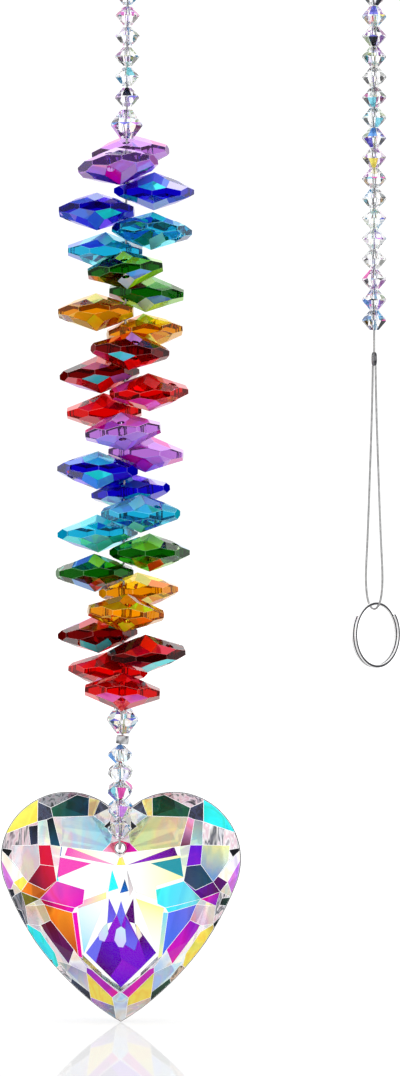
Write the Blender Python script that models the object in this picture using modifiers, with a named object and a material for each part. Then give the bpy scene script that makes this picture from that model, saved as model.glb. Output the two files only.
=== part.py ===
"""Crystal suncatcher: a beaded strand draped over a bar, with a faceted heart on one end and a ring on the other.

Metres, +Z up. The origin is the top of the arch, on the strand's own line, where it lies over the bar.
-Y is the front. Every coloured octagon hangs from a hole near its edge, so it leans out to one side.
"""
import bmesh
import bpy
from math import acos, atan, cos, pi, radians, sin
from mathutils import Matrix, Vector

MM = 0.001
GAP = 0.3 * MM            # room between two pieces that touch

# The strand: two hanging runs joined by an arch over the bar
ARCH_RADIUS = 23.1 * MM
LEFT_LEAN = 0.007         # how far the left run drifts outwards for each metre of drop
WIRE_RADIUS = 0.2 * MM

# Small clear bicones
SMALL_PITCH = 3.8 * MM
SMALL_RADIUS = 2.3 * MM
SMALL_NECK = 0.85 * MM
SMALL_BORE = 0.55 * MM
ARCH_BEADS = 19
RIGHT_BEADS = 17
LEFT_BEADS = 6

# The 6 mm clear bicones that close the coloured cluster
LARGE_RADIUS = 3.0 * MM
LARGE_NECK = 1.2 * MM
LARGE_HALF = 2.7 * MM
LARGE_UPPER_Z = -49.4 * MM
LARGE_LOWER_Z = -160.9 * MM

# Coloured octagons, 14 mm across the flats
OCTAGON_APOTHEM = 7.0 * MM
OCTAGON_PEAK = 3.6 * MM       # half the thickness at the centre
OCTAGON_SIDE = 1.0 * MM       # half the thickness at the middle of a side
OCTAGON_STAR = 4.3 * MM       # reach of the inner facets towards a corner
OCTAGON_HANG = 5.5 * MM       # from the centre to either hole
OCTAGON_BORE = 0.75 * MM
CLUSTER_TOP = -54.4 * MM
CLUSTER_PITCH = 3.76 * MM

# Each octagon: which way it leans out (0 right, 90 away from the front), its roll and its pitch, in degrees
OCTAGONS = (
    ("violet", 83, 4, 0), ("violet", -105, 7, -8),
    ("indigo", 20, -1, 6), ("indigo", 178, 0, -5),
    ("sky", -28, -3, -4), ("sky", 136, -1, 3),
    ("green", -90, 6, 0), ("green", 45, -3, 1),
    ("gold", 178, 1, -3), ("gold", 50, 4, -3),
    ("garnet", -80, -4, 0), ("garnet", 152, 4, -2),
    ("red", -35, 2, 6), ("red", 135, 2, 3),
    ("violet", -92, 6, 0), ("violet", 43, -3, 0),
    ("indigo", -155, -2, -3), ("indigo", 78, 6, 0),
    ("sky", -55, 0, 4), ("sky", 155, 2, -2),
    ("green", -28, 0, 1), ("green", -172, 1, 0),
    ("gold", 60, 3, 0), ("gold", -85, -4, 0),
    ("garnet", 152, 3, -2), ("garnet", -37, 3, 6),
    ("red", 122, -3, 2), ("red", -90, -3, -3),
)
GLASS_COLOURS = {
    "violet": (0.47, 0.22, 0.72), "indigo": (0.06, 0.07, 0.62), "sky": (0.05, 0.48, 0.78),
    "green": (0.05, 0.32, 0.08), "gold": (0.85, 0.42, 0.04), "garnet": (0.36, 0.01, 0.04),
    "red": (0.78, 0.02, 0.04),
}

# The heart: one half is ground from a half outline, then mirrored
HEART_CENTRE = Vector((-24.4 * MM, 0.0, -195.9 * MM))
HEART_TABLE = 8.5 * MM        # half the thickness at the flat table
HEART_GIRDLE = 0.9 * MM       # half the thickness of the rim
HEART_TIP = -21.7 * MM
LOBE_CENTRE = (9.9 * MM, 8.8 * MM)
LOBE_RADIUS = 12.6 * MM
LOBE_END = radians(-21)
LOBE_STEPS = 16
SIDE_STEPS = 6
HEART_HOLE_HEIGHT = 11.2 * MM
HEART_HOLE_RADIUS = 1.0 * MM

# Main facets start at the table, rim facets end on the rim: direction and tilt in degrees, table distance in mm
MAIN_FACETS = (
    (98.3, 29, 10.1), (50, 36, 16.0), (8, 36, 12.5), (-16, 29, 10.0), (-38, 44, 11.6),
    (-54, 52, 12.5), (-90, 54, 15.6),
)
RIM_FACETS = (
    (128, 52), (104, 50), (78, 52), (54, 54), (30, 52), (4, 52), (-22, 50), (-46, 56), (-60, 60),
)

# The pendant: a doubled wire spreads from the crimp and enters the heart's hole from both sides
CRIMP_RADIUS = 1.25 * MM
CRIMP_TOP = -163.6 * MM
CRIMP_HALF = 0.85 * MM
CRIMP_BORE = 0.75 * MM
FORK = Vector((-24.5 * MM, 0.0, -165.7 * MM))
FORK_SPLIT = 0.3 * MM
LEG_TILT = radians(28)
LEG_PITCH = 3.8 * MM
FRONT_START = 2.1 * MM
FRONT_BEADS = 5
BACK_START = 5.7 * MM
BACK_BEADS = 4
LEG_END = 19.6 * MM

# The end that hangs the piece: dark crimp, long wire loop and split ring
RIGHT_X = 23.1 * MM
DARK_CRIMP_Z = -93.2 * MM
DARK_CRIMP_HALF = 1.08 * MM
DARK_CRIMP_RADIUS = 0.56 * MM
RING_CENTRE = Vector((23.4 * MM, 0.0, -145.1 * MM))
RING_RADIUS = 5.9 * MM
RING_WIRE = 0.3 * MM
RING_PITCH = 0.72 * MM
RING_TURNS = 1.9
RING_TURN_POINTS = 24
RING_ANGLE = radians(47)

# The loop's route, across the ring's opening and downwards, in mm
LOOP_ROUTE = (
    (-0.35, -94.6), (-0.42, -98.0), (-0.6, -104.0), (-0.85, -110.0), (-1.12, -116.0), (-1.4, -122.0),
    (-1.72, -128.0), (-1.98, -132.0), (-2.05, -135.0), (-1.8, -137.6), (-1.25, -139.3), (-0.45, -140.15),
    (0.45, -140.15), (1.25, -139.3), (1.8, -137.6), (2.05, -135.0), (1.98, -132.0), (1.72, -128.0),
    (1.4, -122.0), (1.12, -116.0), (0.85, -110.0), (0.6, -104.0), (0.42, -98.0), (0.35, -94.6),
)


def clear_scene():
    for item in list(bpy.data.objects):
        bpy.data.objects.remove(item, do_unlink=True)


def collection(name):
    group = bpy.data.collections.new(name)
    bpy.context.scene.collection.children.link(group)
    return group


def material(name, colour, roughness, metallic, alpha=1.0):
    made = bpy.data.materials.new(name)
    made.use_nodes = True
    shader = made.node_tree.nodes["Principled BSDF"]
    shader.inputs["Base Color"].default_value = (*colour, 1.0)
    shader.inputs["Roughness"].default_value = roughness
    shader.inputs["Metallic"].default_value = metallic
    shader.inputs["Alpha"].default_value = alpha
    return made


def place(name, data, look, group):
    """One named object with its own look."""
    item = bpy.data.objects.new(name, data)
    group.objects.link(item)
    if not data.materials:
        data.materials.append(look)
    item.material_slots[0].link = "OBJECT"
    item.material_slots[0].material = look
    return item


def left_x(z):
    """Where the left run hangs at a height."""
    return -ARCH_RADIUS - LEFT_LEAN * (-ARCH_RADIUS - z)


def polyline(name, points, radii, depth):
    """A tube along points, each with its own radius factor."""
    curve = bpy.data.curves.new(name, "CURVE")
    curve.dimensions = "3D"
    curve.bevel_depth = depth
    curve.bevel_resolution = 2
    curve.use_fill_caps = True
    spline = curve.splines.new("POLY")
    spline.points.add(len(points) - 1)
    for knot, point, radius in zip(spline.points, points, radii):
        knot.co = (*point, 1.0)
        knot.radius = radius
    return curve


def wire(name, points, radius):
    return polyline(name, points, [1.0] * len(points), radius)


def smooth_route(points, steps):
    """Points on one smooth curve through the given ones."""
    route = []
    last = len(points) - 1
    for i in range(last):
        a, b, c, d = (Vector(points[min(max(k, 0), last)]) for k in (i - 1, i, i + 1, i + 2))
        for step in range(steps):
            t = step / steps
            route.append(0.5 * ((2 * b) + (c - a) * t + (2 * a - 5 * b + 4 * c - d) * t ** 2
                                + (3 * b - a - 3 * c + d) * t ** 3))
    route.append(Vector(points[-1]))
    return route


def grind(bm, azimuth, tilt, distance, level):
    """Grind one flat facet that crosses the given level at the given distance from the middle."""
    normal = Vector((cos(azimuth) * sin(tilt), sin(azimuth) * sin(tilt), cos(tilt)))
    point = Vector((cos(azimuth) * distance, sin(azimuth) * distance, level))
    everything = bm.verts[:] + bm.edges[:] + bm.faces[:]
    cut = bmesh.ops.bisect_plane(bm, geom=everything, dist=1e-7, plane_co=point, plane_no=normal, clear_outer=True)
    rim = [part for part in cut["geom_cut"] if isinstance(part, bmesh.types.BMEdge)]
    if len(rim) > 2:
        bmesh.ops.contextual_create(bm, geom=rim)


def grind_both(bm, azimuth, tilt, distance, level):
    """The same facet on the front and on the back."""
    grind(bm, azimuth, tilt, distance, level)
    grind(bm, azimuth, pi - tilt, distance, -level)


def finish_mesh(bm, name):
    bmesh.ops.remove_doubles(bm, verts=bm.verts[:], dist=0.00002)
    bmesh.ops.recalc_face_normals(bm, faces=bm.faces[:])
    mesh = bpy.data.meshes.new(name)
    bm.to_mesh(mesh)
    bm.free()
    return mesh


def bore_cutter(name, location, rotation, radius, length, sides, group):
    """A hidden cylinder that drills a hole."""
    bm = bmesh.new()
    bmesh.ops.create_cone(bm, cap_ends=True, segments=sides, radius1=radius, radius2=radius, depth=length)
    cutter = bpy.data.objects.new(name, finish_mesh(bm, name))
    group.objects.link(cutter)
    cutter.location = location
    cutter.rotation_euler = rotation
    cutter.hide_render = True
    cutter.display_type = "WIRE"
    return cutter


def drill(item, cutter):
    hole = item.modifiers.new(cutter.name, "BOOLEAN")
    hole.operation = "DIFFERENCE"
    hole.object = cutter


def octagon_mesh(cutters):
    """The octagon: eight inner and eight outer facets on each face, and a hole near two opposite sides."""
    corner = OCTAGON_APOTHEM / cos(pi / 8)
    inner_slope = (OCTAGON_PEAK - OCTAGON_SIDE) / OCTAGON_APOTHEM
    star_height = OCTAGON_PEAK - inner_slope * OCTAGON_STAR * cos(pi / 8)
    outer_run = OCTAGON_APOTHEM * cos(pi / 8) - OCTAGON_STAR
    outer_slope = (star_height - OCTAGON_SIDE) / outer_run
    bm = bmesh.new()
    bmesh.ops.create_cone(bm, cap_ends=True, segments=8, radius1=corner, radius2=corner, depth=2.2 * OCTAGON_PEAK)
    bmesh.ops.rotate(bm, verts=bm.verts[:], cent=(0, 0, 0), matrix=Matrix.Rotation(pi / 8, 3, "Z"))
    first = min(bm.verts, key=lambda vert: abs(vert.co.y))
    if abs(first.co.y) < 0.1 * MM:
        bmesh.ops.rotate(bm, verts=bm.verts[:], cent=(0, 0, 0), matrix=Matrix.Rotation(pi / 8, 3, "Z"))
    for turn in range(8):
        side = turn * pi / 4
        grind_both(bm, side, atan(inner_slope), OCTAGON_APOTHEM, OCTAGON_SIDE)
        grind_both(bm, side + pi / 8, atan(outer_slope), OCTAGON_STAR, star_height)
    blank = bpy.data.objects.new("octagon_blank", finish_mesh(bm, "octagon_blank"))
    cutters.objects.link(blank)
    for index, side in enumerate((-1, 1)):
        place_at = (side * OCTAGON_HANG, 0, 0)
        drill(blank, bore_cutter(f"octagon_bore_{index}", place_at, (0, 0, 0), OCTAGON_BORE, 12 * MM, 6, cutters))
    bpy.context.view_layer.update()
    drilled = bpy.data.meshes.new_from_object(blank.evaluated_get(bpy.context.evaluated_depsgraph_get()))
    bpy.data.objects.remove(blank, do_unlink=True)
    drilled.name = "octagon"
    # The bead hangs from its first hole, so that hole is its origin
    drilled.transform(Matrix.Translation((OCTAGON_HANG, 0, 0)))
    return drilled


def octagons(group, cutters):
    mesh = octagon_mesh(cutters)
    looks = {name: material(f"glass_{name}", colour, 0.04, 0.0, 0.85) for name, colour in GLASS_COLOURS.items()}
    counts = {}
    for index, (colour, azimuth, roll, pitch) in enumerate(OCTAGONS):
        counts[colour] = counts.get(colour, 0) + 1
        z = CLUSTER_TOP - CLUSTER_PITCH * index
        bead = place(f"octagon_{colour}_{counts[colour]}", mesh, looks[colour], group)
        tilt = Matrix.Rotation(radians(-roll), 4, "Y") @ Matrix.Rotation(radians(pitch), 4, "X")
        turn = Matrix.Rotation(radians(azimuth), 4, "Z")
        bead.matrix_world = Matrix.Translation((left_x(z), 0, z)) @ tilt @ turn


def bicone_mesh(name, half, radius, neck, bore, sides, group):
    """A turned double cone with a bore, as a Screw of its profile."""
    bm = bmesh.new()
    profile = [(bore, half), (neck, half), (radius, 0.0), (neck, -half), (bore, -half)]
    verts = [bm.verts.new((x, 0, z)) for x, z in profile]
    for upper, lower in zip(verts, verts[1:] + verts[:1]):
        bm.edges.new((upper, lower))
    mesh = bpy.data.meshes.new(name)
    bm.to_mesh(mesh)
    bm.free()
    guide = bpy.data.objects.new(name, mesh)
    group.objects.link(guide)
    screw = guide.modifiers.new("turn", "SCREW")
    screw.steps = sides
    screw.render_steps = sides
    screw.use_merge_vertices = True
    screw.merge_threshold = 0.00001
    screw.use_smooth_shade = False
    bpy.context.view_layer.update()
    turned = bpy.data.meshes.new_from_object(guide.evaluated_get(bpy.context.evaluated_depsgraph_get()))
    bpy.data.objects.remove(guide, do_unlink=True)
    return turned


def fused_run(name, stations, look, group):
    """A run of small bicones that touch end to end, as one solid."""
    points = []
    radii = []
    for start, belly, end in stations:
        if not points:
            points.append(start)
            radii.append(SMALL_NECK / SMALL_RADIUS)
        points += [belly, end]
        radii += [1.0, SMALL_NECK / SMALL_RADIUS]
    return place(name, polyline(name, points, radii, SMALL_RADIUS), look, group)


def small_bicones(group, cutters, glass):
    """The arch over the bar, the right run, and the single beads at the top of the left run."""
    def on_arch(step):
        angle = pi - step * pi / (2 * ARCH_BEADS)
        return Vector((ARCH_RADIUS * cos(angle), 0, ARCH_RADIUS * sin(angle) - ARCH_RADIUS))

    def on_right(step):
        return Vector((ARCH_RADIUS, 0, -ARCH_RADIUS - GAP - step * SMALL_PITCH / 2))

    arch = [tuple(on_arch(2 * bead + k) for k in (0, 1, 2)) for bead in range(ARCH_BEADS)]
    right = [tuple(on_right(2 * bead + k) for k in (0, 1, 2)) for bead in range(RIGHT_BEADS)]
    fused_run("clear_beads_over_bar", arch, glass, group)
    fused_run("clear_beads_right", right, glass, group)
    mesh = bicone_mesh("small_bicone", (SMALL_PITCH - GAP) / 2, SMALL_RADIUS, SMALL_NECK, SMALL_BORE, 8, cutters)
    for index in range(LEFT_BEADS):
        z = -ARCH_RADIUS - GAP - (index + 0.5) * SMALL_PITCH
        bead = place(f"clear_bead_left_{index + 1}", mesh, glass, group)
        bead.location = (left_x(z), 0, z)
        bead.rotation_euler = (0, 0, index * 0.35)
    return mesh


def large_bicones(group, cutters, glass):
    mesh = bicone_mesh("large_bicone", LARGE_HALF, LARGE_RADIUS, LARGE_NECK, SMALL_BORE, 10, cutters)
    for name, z in (("upper", LARGE_UPPER_Z), ("lower", LARGE_LOWER_Z)):
        bead = place(f"clear_bicone_{name}", mesh, glass, group)
        bead.location = (left_x(z), 0, z)


def heart_outline():
    """The right half of the outline, from the cleft round the lobe and down to the tip."""
    centre = Vector(LOBE_CENTRE)
    start = acos(-LOBE_CENTRE[0] / LOBE_RADIUS)
    points = []
    for step in range(LOBE_STEPS + 1):
        angle = start + (LOBE_END - start) * step / LOBE_STEPS
        points.append(centre + LOBE_RADIUS * Vector((cos(angle), sin(angle))))
    # The side is one arc that leaves the lobe smoothly and ends at the tip
    outward = Vector((cos(LOBE_END), sin(LOBE_END)))
    chord = points[-1] - Vector((0, HEART_TIP))
    side_radius = chord.length_squared / (2 * outward.dot(chord))
    middle = points[-1] - side_radius * outward
    reach = (points[-1] - middle).angle_signed(Vector((0, HEART_TIP)) - middle)
    for step in range(1, SIDE_STEPS + 1):
        angle = LOBE_END - reach * step / SIDE_STEPS
        points.append(middle + side_radius * Vector((cos(angle), sin(angle))))
    points[0].x = 0
    points[-1].x = 0
    return points


def heart(group, cutters, glass):
    outline = heart_outline()
    bm = bmesh.new()
    block = 1.1 * HEART_TABLE
    base = [bm.verts.new((p.x, p.y, -block)) for p in outline]
    wall = bmesh.ops.extrude_face_region(bm, geom=[bm.faces.new(base)])
    bmesh.ops.translate(bm, verts=[v for v in wall["geom"] if isinstance(v, bmesh.types.BMVert)],
                        vec=(0, 0, 2 * block))
    bmesh.ops.recalc_face_normals(bm, faces=bm.faces[:])
    grind_both(bm, 0, 0, 0, HEART_TABLE)
    for azimuth, tilt, distance in MAIN_FACETS:
        grind_both(bm, radians(azimuth), radians(tilt), distance * MM, HEART_TABLE)
    for azimuth, tilt in RIM_FACETS:
        way = Vector((cos(radians(azimuth)), sin(radians(azimuth))))
        grind_both(bm, radians(azimuth), radians(tilt), max(way.dot(p) for p in outline), HEART_GIRDLE)
    inside = [f for f in bm.faces if all(abs(v.co.x) < 0.01 * MM for v in f.verts)]
    bmesh.ops.delete(bm, geom=inside, context="FACES_ONLY")
    item = place("crystal_heart", finish_mesh(bm, "crystal_heart"), glass, group)
    mirror = item.modifiers.new("other half", "MIRROR")
    mirror.use_axis = (True, False, False)
    mirror.merge_threshold = 0.00005
    item.location = HEART_CENTRE
    item.rotation_euler = (pi / 2, 0, 0)
    hole_at = HEART_CENTRE + Vector((0, 0, HEART_HOLE_HEIGHT))
    drill(item, bore_cutter("heart_bore", hole_at, (pi / 2, 0, 0), HEART_HOLE_RADIUS, 30 * MM, 10, cutters))


def pendant(group, bead_mesh, glass, steel):
    """Beads on the two legs of the wire, one leg in front of the heart and one behind it."""
    hole = HEART_CENTRE + Vector((0, 0, HEART_HOLE_HEIGHT))
    route = []
    for side, word, start, count in ((-1, "front", FRONT_START, FRONT_BEADS), (1, "back", BACK_START, BACK_BEADS)):
        top = FORK + Vector((0, side * FORK_SPLIT, 0))
        along = Vector((0, side * sin(LEG_TILT), -cos(LEG_TILT)))
        for index in range(count):
            bead = place(f"clear_bead_{word}_{index + 1}", bead_mesh, glass, group)
            bead.location = top + along * (start + index * LEG_PITCH)
            bead.rotation_euler = (side * LEG_TILT, 0, 0)
        leg = [
            top + Vector((0, 0, CRIMP_HALF)), top, top + along * 2 * MM, top + along * LEG_END,
            Vector((FORK.x, side * (HEART_TABLE + 0.6 * MM), hole.z + 0.5 * MM)),
            Vector((FORK.x, side * (HEART_TABLE - 0.4 * MM), hole.z)),
        ]
        route = leg if side < 0 else route + leg[::-1]
    place("pendant_wire", wire("pendant_wire", route, WIRE_RADIUS), steel, group)


def crimps(group, cutters, silver, dark):
    mesh = bicone_mesh("crimp", CRIMP_HALF, CRIMP_RADIUS, 0.85 * CRIMP_RADIUS, CRIMP_BORE, 10, cutters)
    item = place("crimp_pendant", mesh, silver, group)
    z = CRIMP_TOP - GAP - CRIMP_HALF
    item.location = (left_x(z), 0, z)
    shell = polyline("crimp_loop", [(0, 0, DARK_CRIMP_HALF), (0, 0, 0.45 * DARK_CRIMP_HALF),
                                    (0, 0, -0.45 * DARK_CRIMP_HALF), (0, 0, -DARK_CRIMP_HALF)],
                     [0.62, 1.0, 1.0, 0.62], DARK_CRIMP_RADIUS)
    item = place("crimp_loop", shell, dark, group)
    item.location = (RIGHT_X, 0, DARK_CRIMP_Z)


def strand_wires(group, steel):
    """The wire through the left run, and the short bare stretch under the last bead on the right."""
    top = -ARCH_RADIUS - GAP
    bottom = CRIMP_TOP - CRIMP_HALF
    place("strand_wire", wire("strand_wire", [(left_x(top), 0, top), (left_x(bottom), 0, bottom)], WIRE_RADIUS),
          steel, group)
    last = -ARCH_RADIUS - GAP - RIGHT_BEADS * SMALL_PITCH
    shell_top = DARK_CRIMP_Z + DARK_CRIMP_HALF
    place("end_wire", wire("end_wire", [(RIGHT_X, 0, last - GAP), (RIGHT_X, 0, shell_top + GAP)], WIRE_RADIUS),
          steel, group)


def split_ring(group, steel):
    """Nearly two turns of round wire, side by side, with the ring's axis turned away from the front."""
    points = []
    steps = int(RING_TURNS * RING_TURN_POINTS)
    for step in range(steps + 1):
        turn = RING_TURNS * 2 * pi * step / steps
        along = RING_PITCH * (step / steps - 0.5) * RING_TURNS
        points.append(Vector((RING_RADIUS * cos(turn), along, RING_RADIUS * sin(turn))))
    item = place("split_ring", wire("split_ring", points, RING_WIRE), steel, group)
    item.location = RING_CENTRE
    item.rotation_euler = (0, 0, RING_ANGLE)


def loop_wire(group, steel):
    """The long thin loop that carries the ring, in the upright plane of the ring's axis."""
    across = Vector((-sin(RING_ANGLE), cos(RING_ANGLE), 0))
    route = [Vector((RIGHT_X, 0, height * MM)) + across * (side * MM) for side, height in LOOP_ROUTE]
    place("loop_wire", wire("loop_wire", smooth_route(route, 3), WIRE_RADIUS), steel, group)


def build():
    clear_scene()
    group = collection("crystal_suncatcher")
    cutters = collection("cutters")
    glass = material("clear_glass", (0.93, 0.95, 0.97), 0.03, 0.0, 0.6)
    heart_glass = material("heart_glass", (0.82, 0.86, 0.95), 0.02, 0.0, 0.6)
    silver = material("silver", (0.75, 0.75, 0.76), 0.25, 1.0)
    steel = material("steel_wire", (0.62, 0.60, 0.57), 0.35, 1.0)
    dark = material("dark_metal", (0.10, 0.10, 0.11), 0.3, 1.0)
    bead_mesh = small_bicones(group, cutters, glass)
    large_bicones(group, cutters, glass)
    octagons(group, cutters)
    crimps(group, cutters, silver, dark)
    heart(group, cutters, heart_glass)
    pendant(group, bead_mesh, glass, steel)
    strand_wires(group, steel)
    loop_wire(group, steel)
    split_ring(group, silver)


build()
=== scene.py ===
"""Crystal suncatcher: the looks of every crystal, bead and wire, around the fixed frame."""
import bmesh
import bpy
from math import acos, atan, cos, floor, log, pi, radians, sin, tan
from mathutils import Matrix, Vector
from mathutils.geometry import delaunay_2d_cdt


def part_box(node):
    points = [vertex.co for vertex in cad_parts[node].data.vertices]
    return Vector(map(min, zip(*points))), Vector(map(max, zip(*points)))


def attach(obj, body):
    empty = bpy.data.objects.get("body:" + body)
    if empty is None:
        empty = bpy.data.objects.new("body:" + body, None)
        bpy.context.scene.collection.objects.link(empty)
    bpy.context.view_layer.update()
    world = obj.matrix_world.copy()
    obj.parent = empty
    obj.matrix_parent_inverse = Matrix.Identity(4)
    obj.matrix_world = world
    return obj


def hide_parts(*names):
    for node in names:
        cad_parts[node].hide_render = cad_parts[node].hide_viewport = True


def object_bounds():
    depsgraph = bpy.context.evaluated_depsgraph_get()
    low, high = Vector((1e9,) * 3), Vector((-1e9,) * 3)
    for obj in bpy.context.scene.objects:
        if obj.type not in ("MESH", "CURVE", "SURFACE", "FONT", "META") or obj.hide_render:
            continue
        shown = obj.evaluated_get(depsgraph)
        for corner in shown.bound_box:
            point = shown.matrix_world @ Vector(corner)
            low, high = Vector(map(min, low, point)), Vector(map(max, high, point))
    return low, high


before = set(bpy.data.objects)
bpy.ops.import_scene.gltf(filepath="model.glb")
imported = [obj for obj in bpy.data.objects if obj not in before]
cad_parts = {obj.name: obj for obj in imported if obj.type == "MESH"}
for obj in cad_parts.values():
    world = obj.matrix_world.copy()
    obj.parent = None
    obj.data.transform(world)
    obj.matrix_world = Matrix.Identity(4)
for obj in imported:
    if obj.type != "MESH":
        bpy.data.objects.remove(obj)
cad_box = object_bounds()

MM = 0.001

# The small beads: the coats of their facets, the share of facets with a strong coat, and its tones, where ink paints
# dark reflections in the glass
BEAD_FILMS = (0, 0, 60, 0, 140, 0, 180, 0, 240, 0)
BEAD_COATED = 0.10
BEAD_TONES = ("pink", "aqua", "yellow", "periwinkle", "ink", "sky", "lilac", "ink")

# The strand, as the frame has it
ARCH_RADIUS = 23.1 * MM
LEFT_LEAN = 0.007
GAP = 0.3 * MM
SMALL_PITCH = 3.8 * MM
SMALL_RADIUS = 2.3 * MM
SMALL_NECK = 0.85 * MM
BEAD_BORE = 0.45 * MM
ARCH_BEADS = 19
RIGHT_BEADS = 17
LEFT_BEADS = 6
LARGE_RADIUS = 3.0 * MM
LARGE_NECK = 1.2 * MM
LARGE_HALF = 2.7 * MM
WIRE_RADIUS = 0.2 * MM

# Coloured octagons, 14 mm across the flats
OCTAGON_APOTHEM = 7.0 * MM
OCTAGON_PEAK = 3.6 * MM
OCTAGON_SIDE = 1.0 * MM
OCTAGON_STAR = 4.3 * MM
OCTAGON_HANG = 5.5 * MM
OCTAGON_BORE = 0.72 * MM
ARRIS = 0.024 * MM
SLOPE, MIRROR, GLINT, EDGE_ON_SHADE, BRIGHT = range(5)
# A girdle facet seen almost edge on from the front is an end facet; the ends and the girdle have their glass tone
# darkened as painted shade
END_FACING = 0.42
PAINTED_END_SHADE = 0.5
PAINTED_GIRDLE_SHADE = 0.7
KITE_LEVEL = 0.91
FRONT_FACING = 0.9
CLUSTER_TOP = -54.4 * MM
CLUSTER_PITCH = 3.76 * MM
OCTAGONS = (
    ("violet", 83, 4, 0), ("violet", -105, 7, -8),
    ("indigo", 20, -1, 6), ("indigo", 178, 0, -5),
    ("sky", -28, -3, -4), ("sky", 136, -1, 3),
    ("green", -90, 6, 0), ("green", 45, -3, 1),
    ("gold", 178, 1, -3), ("gold", 50, 4, -3),
    ("garnet", -80, -4, 0), ("garnet", 152, 4, -2),
    ("red", -35, 2, 6), ("red", 135, 2, 3),
    ("violet", -92, 6, 0), ("violet", 43, -3, 0),
    ("indigo", -155, -2, -3), ("indigo", 78, 6, 0),
    ("sky", -55, 0, 4), ("sky", 155, 2, -2),
    ("green", -28, 0, 1), ("green", -172, 1, 0),
    ("gold", 60, 3, 0), ("gold", -85, -4, 0),
    ("garnet", 152, 3, -2), ("garnet", -37, 3, 6),
    ("red", 122, -3, 2), ("red", -90, -3, -3),
)

# The coats of an octagon's slopes: the share of mirrored facets, their tones, and films in nanometres
OCTAGON_MIRRORED = {
    "violet": 0.85, "indigo": 0.5, "sky": 0.5, "green": 0.5, "gold": 0.45, "garnet": 0.45, "red": 0.55,
}
OCTAGON_FILMS = {
    "violet": (0, 60, 0, 0), "indigo": (0, 140, 0, 160, 0), "sky": (160, 0, 0, 140), "green": (0, 240, 0, 0),
    "gold": (180, 0, 0, 180), "garnet": (0, 0, 320, 0), "red": (320, 0, 0, 0),
}
OCTAGON_TONES = {
    "violet": "orchid lilac magenta lilac orchid", "indigo": "azure cyan lavender ultramarine",
    "sky": "aqua cyan aqua azure", "green": "lime emerald sky lime rust", "gold": "amber amber orange sun",
    "garnet": "scarlet wine crimson cyan lilac", "red": "scarlet pink scarlet crimson lilac",
}

# The tones of the kite-shaped slopes that face the front, above the girdle and below it
OCTAGON_ACCENTS = {
    "violet": ("lilac orchid", "orchid magenta"), "indigo": ("azure cyan", "azure sky"),
    "sky": ("cyan aqua", "cyan aqua"), "green": ("lime", "rust pale_blue"), "gold": ("orange sun", "sun"),
    "garnet": ("scarlet lilac", "scarlet cyan"), "red": ("scarlet", "scarlet pink"),
}

# What colour white light has after 12 mm of each glass
GLASS_DEPTH = 12 * MM
GLASS_DENSITY = 700.0
GLASS = {
    "violet": (220, 172, 238), "indigo": (60, 28, 225), "sky": (85, 214, 240), "green": (50, 150, 35),
    "gold": (248, 190, 32), "garnet": (165, 16, 24), "red": (240, 22, 26),
}

# The camera looks along +Y. One pixel of the 400 x 1076 photograph is this long at the strand
PIXEL = 0.1875 * MM
PHOTO_SIZE = (400, 1076)
ORIGIN_PIXEL = (251, -139)
CAMERA_DISTANCE = 1.0
SENSOR = 36.0

FLOOR_DROP = 0.05 * MM
FLOOR_GLOW = 0.5
STUDIO_LIGHT = 1.25
SOFT_LIGHT = 1.4

# The tones of the rainbow coat, as red, green and blue from 0 to 255. The dark ones (ink, slate, forest, deep_teal)
# also paint shade and dark reflections
TONES = {
    "white": (255, 255, 255), "pearl": (240, 243, 232), "blush": (232, 218, 220), "mint": (190, 232, 222),
    "lemon": (255, 249, 150), "yellow": (255, 238, 90), "lime": (150, 225, 40), "sand": (232, 205, 165),
    "orange": (250, 135, 20), "rust": (180, 65, 20), "olive": (115, 115, 10), "forest": (28, 85, 62),
    "cyan": (45, 240, 245), "aqua": (120, 220, 242), "pale_blue": (195, 230, 250), "teal": (40, 145, 160),
    "deep_teal": (14, 72, 98), "blue": (20, 100, 200), "sky": (85, 150, 232), "periwinkle": (105, 105, 232),
    "violet": (95, 8, 200), "purple": (140, 25, 200), "plum": (80, 6, 105), "lilac": (208, 125, 240),
    "magenta": (232, 0, 180), "pink": (236, 70, 178), "rose": (244, 160, 205), "crimson": (208, 8, 55),
    "wine": (100, 14, 44), "slate": (52, 62, 92), "smoke": (150, 155, 162), "ink": (10, 14, 26),
    "ice": (178, 250, 244), "lavender": (205, 200, 250), "azure": (60, 115, 240), "ultramarine": (62, 24, 225),
    "sage": (198, 216, 148), "mauve": (178, 120, 220), "emerald": (10, 130, 40), "amber": (250, 178, 20),
    "scarlet": (250, 20, 20), "sun": (255, 240, 30), "sea": (100, 250, 212), "orchid": (215, 150, 250),
}

# The heart
HEART_CENTRE = Vector((-24.4 * MM, 0.0, -195.9 * MM))
HEART_TABLE = 8.5 * MM
HEART_GIRDLE = 0.9 * MM
HEART_TIP = -21.7 * MM
LOBE_CENTRE = (9.9 * MM, 8.8 * MM)
LOBE_RADIUS = 12.6 * MM
LOBE_END = radians(-21)
LOBE_STEPS = 40
SIDE_STEPS = 14
HEART_HOLE_HEIGHT = 11.2 * MM
HEART_HOLE_RADIUS = 0.9 * MM
MAIN_FACETS = (
    (98.3, 29, 10.1), (50, 36, 16.0), (8, 36, 12.5), (-16, 29, 10.0), (-38, 44, 11.6),
    (-54, 52, 12.5), (-90, 54, 15.6),
)
RIM_FACETS = (
    (128, 52), (104, 50), (78, 52), (54, 54), (30, 52), (4, 52), (-22, 50), (-46, 56), (-60, 60),
)

# The ground margins, and the ink-dark rim that is painted shade along the outline
HEART_ARRIS = 0.05 * MM
HEART_RIM = 0.18 * MM
HOLE_SIDES = 24
ARRIS_DEPTH = 0.004 * MM
# How dark the back margins are painted, as shade
MARGIN_SHADE = 0.55
SNAP = 0.05
COAT_SLANT = radians(12)
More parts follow.
